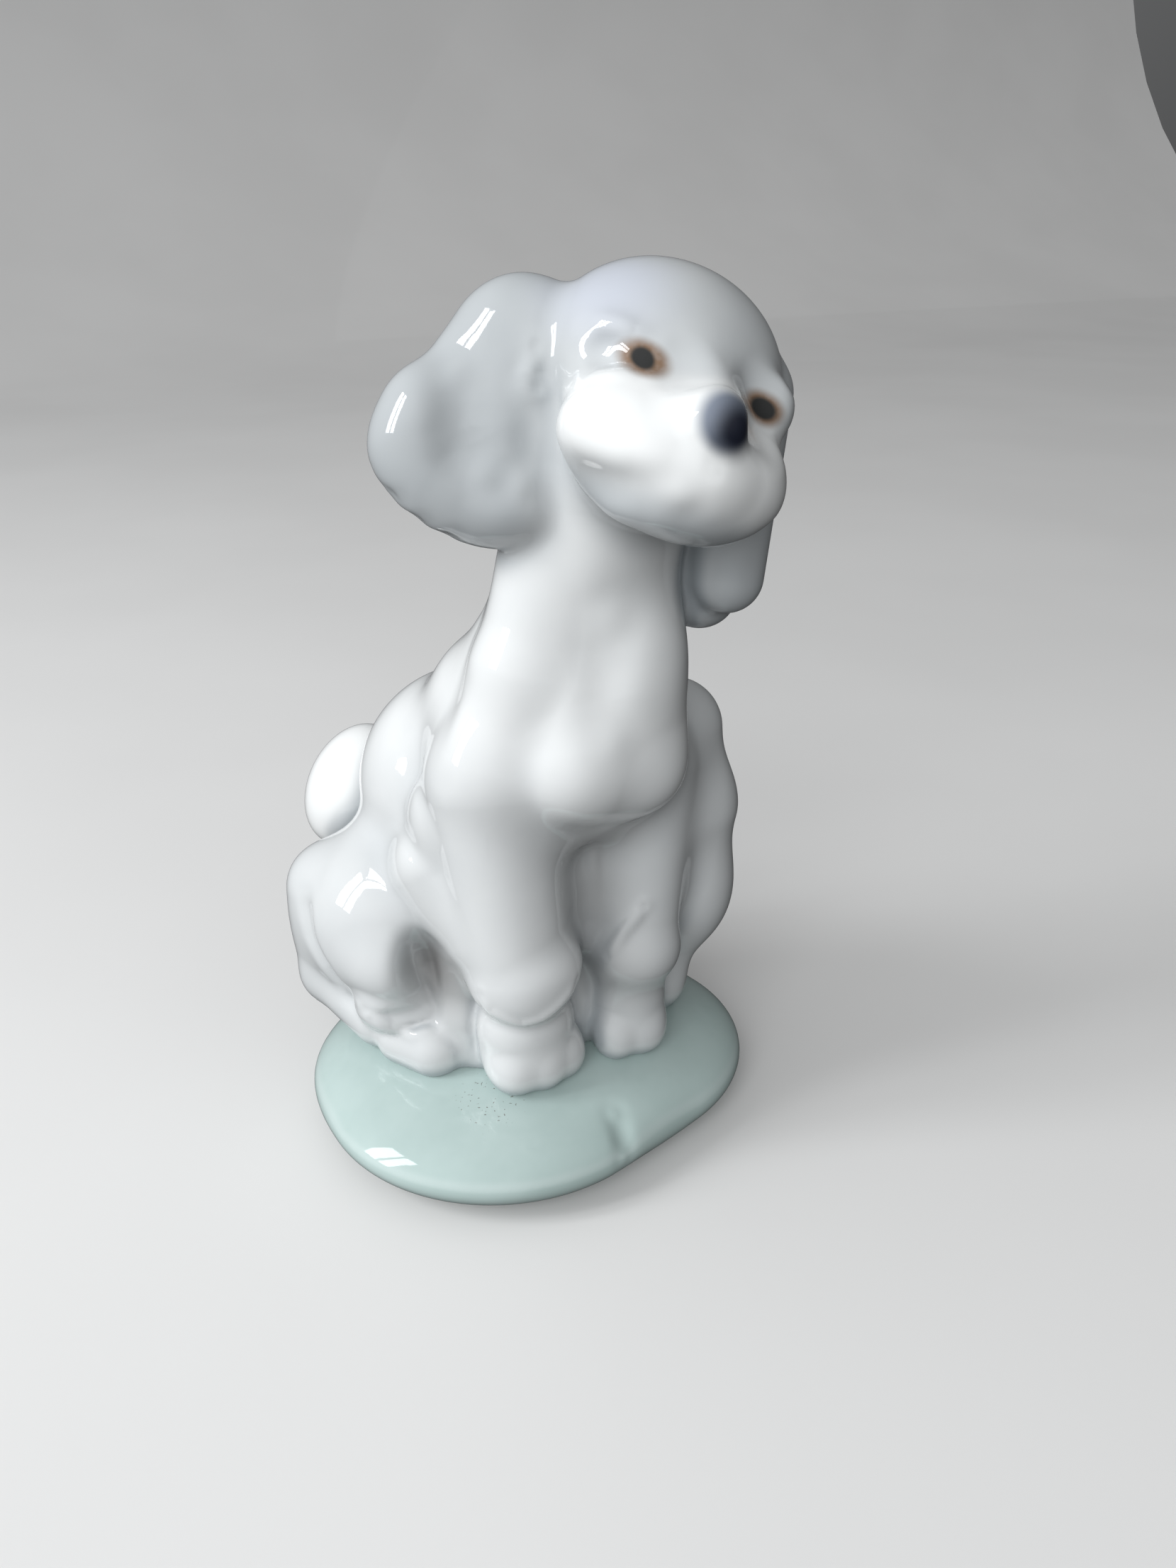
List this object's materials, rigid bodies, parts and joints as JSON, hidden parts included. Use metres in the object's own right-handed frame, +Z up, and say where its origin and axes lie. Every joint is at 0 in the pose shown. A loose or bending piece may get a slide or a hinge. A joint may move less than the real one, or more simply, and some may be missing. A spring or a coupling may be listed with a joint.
{
  "type": "ceramic dog figurine",
  "caption": "Glazed ceramic figurine of a seated puppy with its head cocked, built from luted cast pieces on an oval base that stands on a shelf or table.",
  "frame": {"origin": "middle of the flat foot under the base", "axes": "+Z up, the dog looks along -Y, the dog's right side is at -X"},
  "size_m": [0.0579, 0.0748, 0.1073],
  "materials": {
    "pale_glaze": "glossy",
    "grey_glaze": "glossy",
    "white_glaze": "glossy",
    "celadon_glaze": "glossy"
  },
  "bodies": {
    "root": {"base": "celadon_glaze", "torso": "pale_glaze", "head": "pale_glaze", "ear_right": "grey_glaze", "ear_left": "grey_glaze", "foreleg_right": "pale_glaze", "foreleg_left": "pale_glaze", "hind_leg_right": "pale_glaze", "hind_leg_left": "pale_glaze", "tail": "white_glaze"}
  },
  "joints": []
}
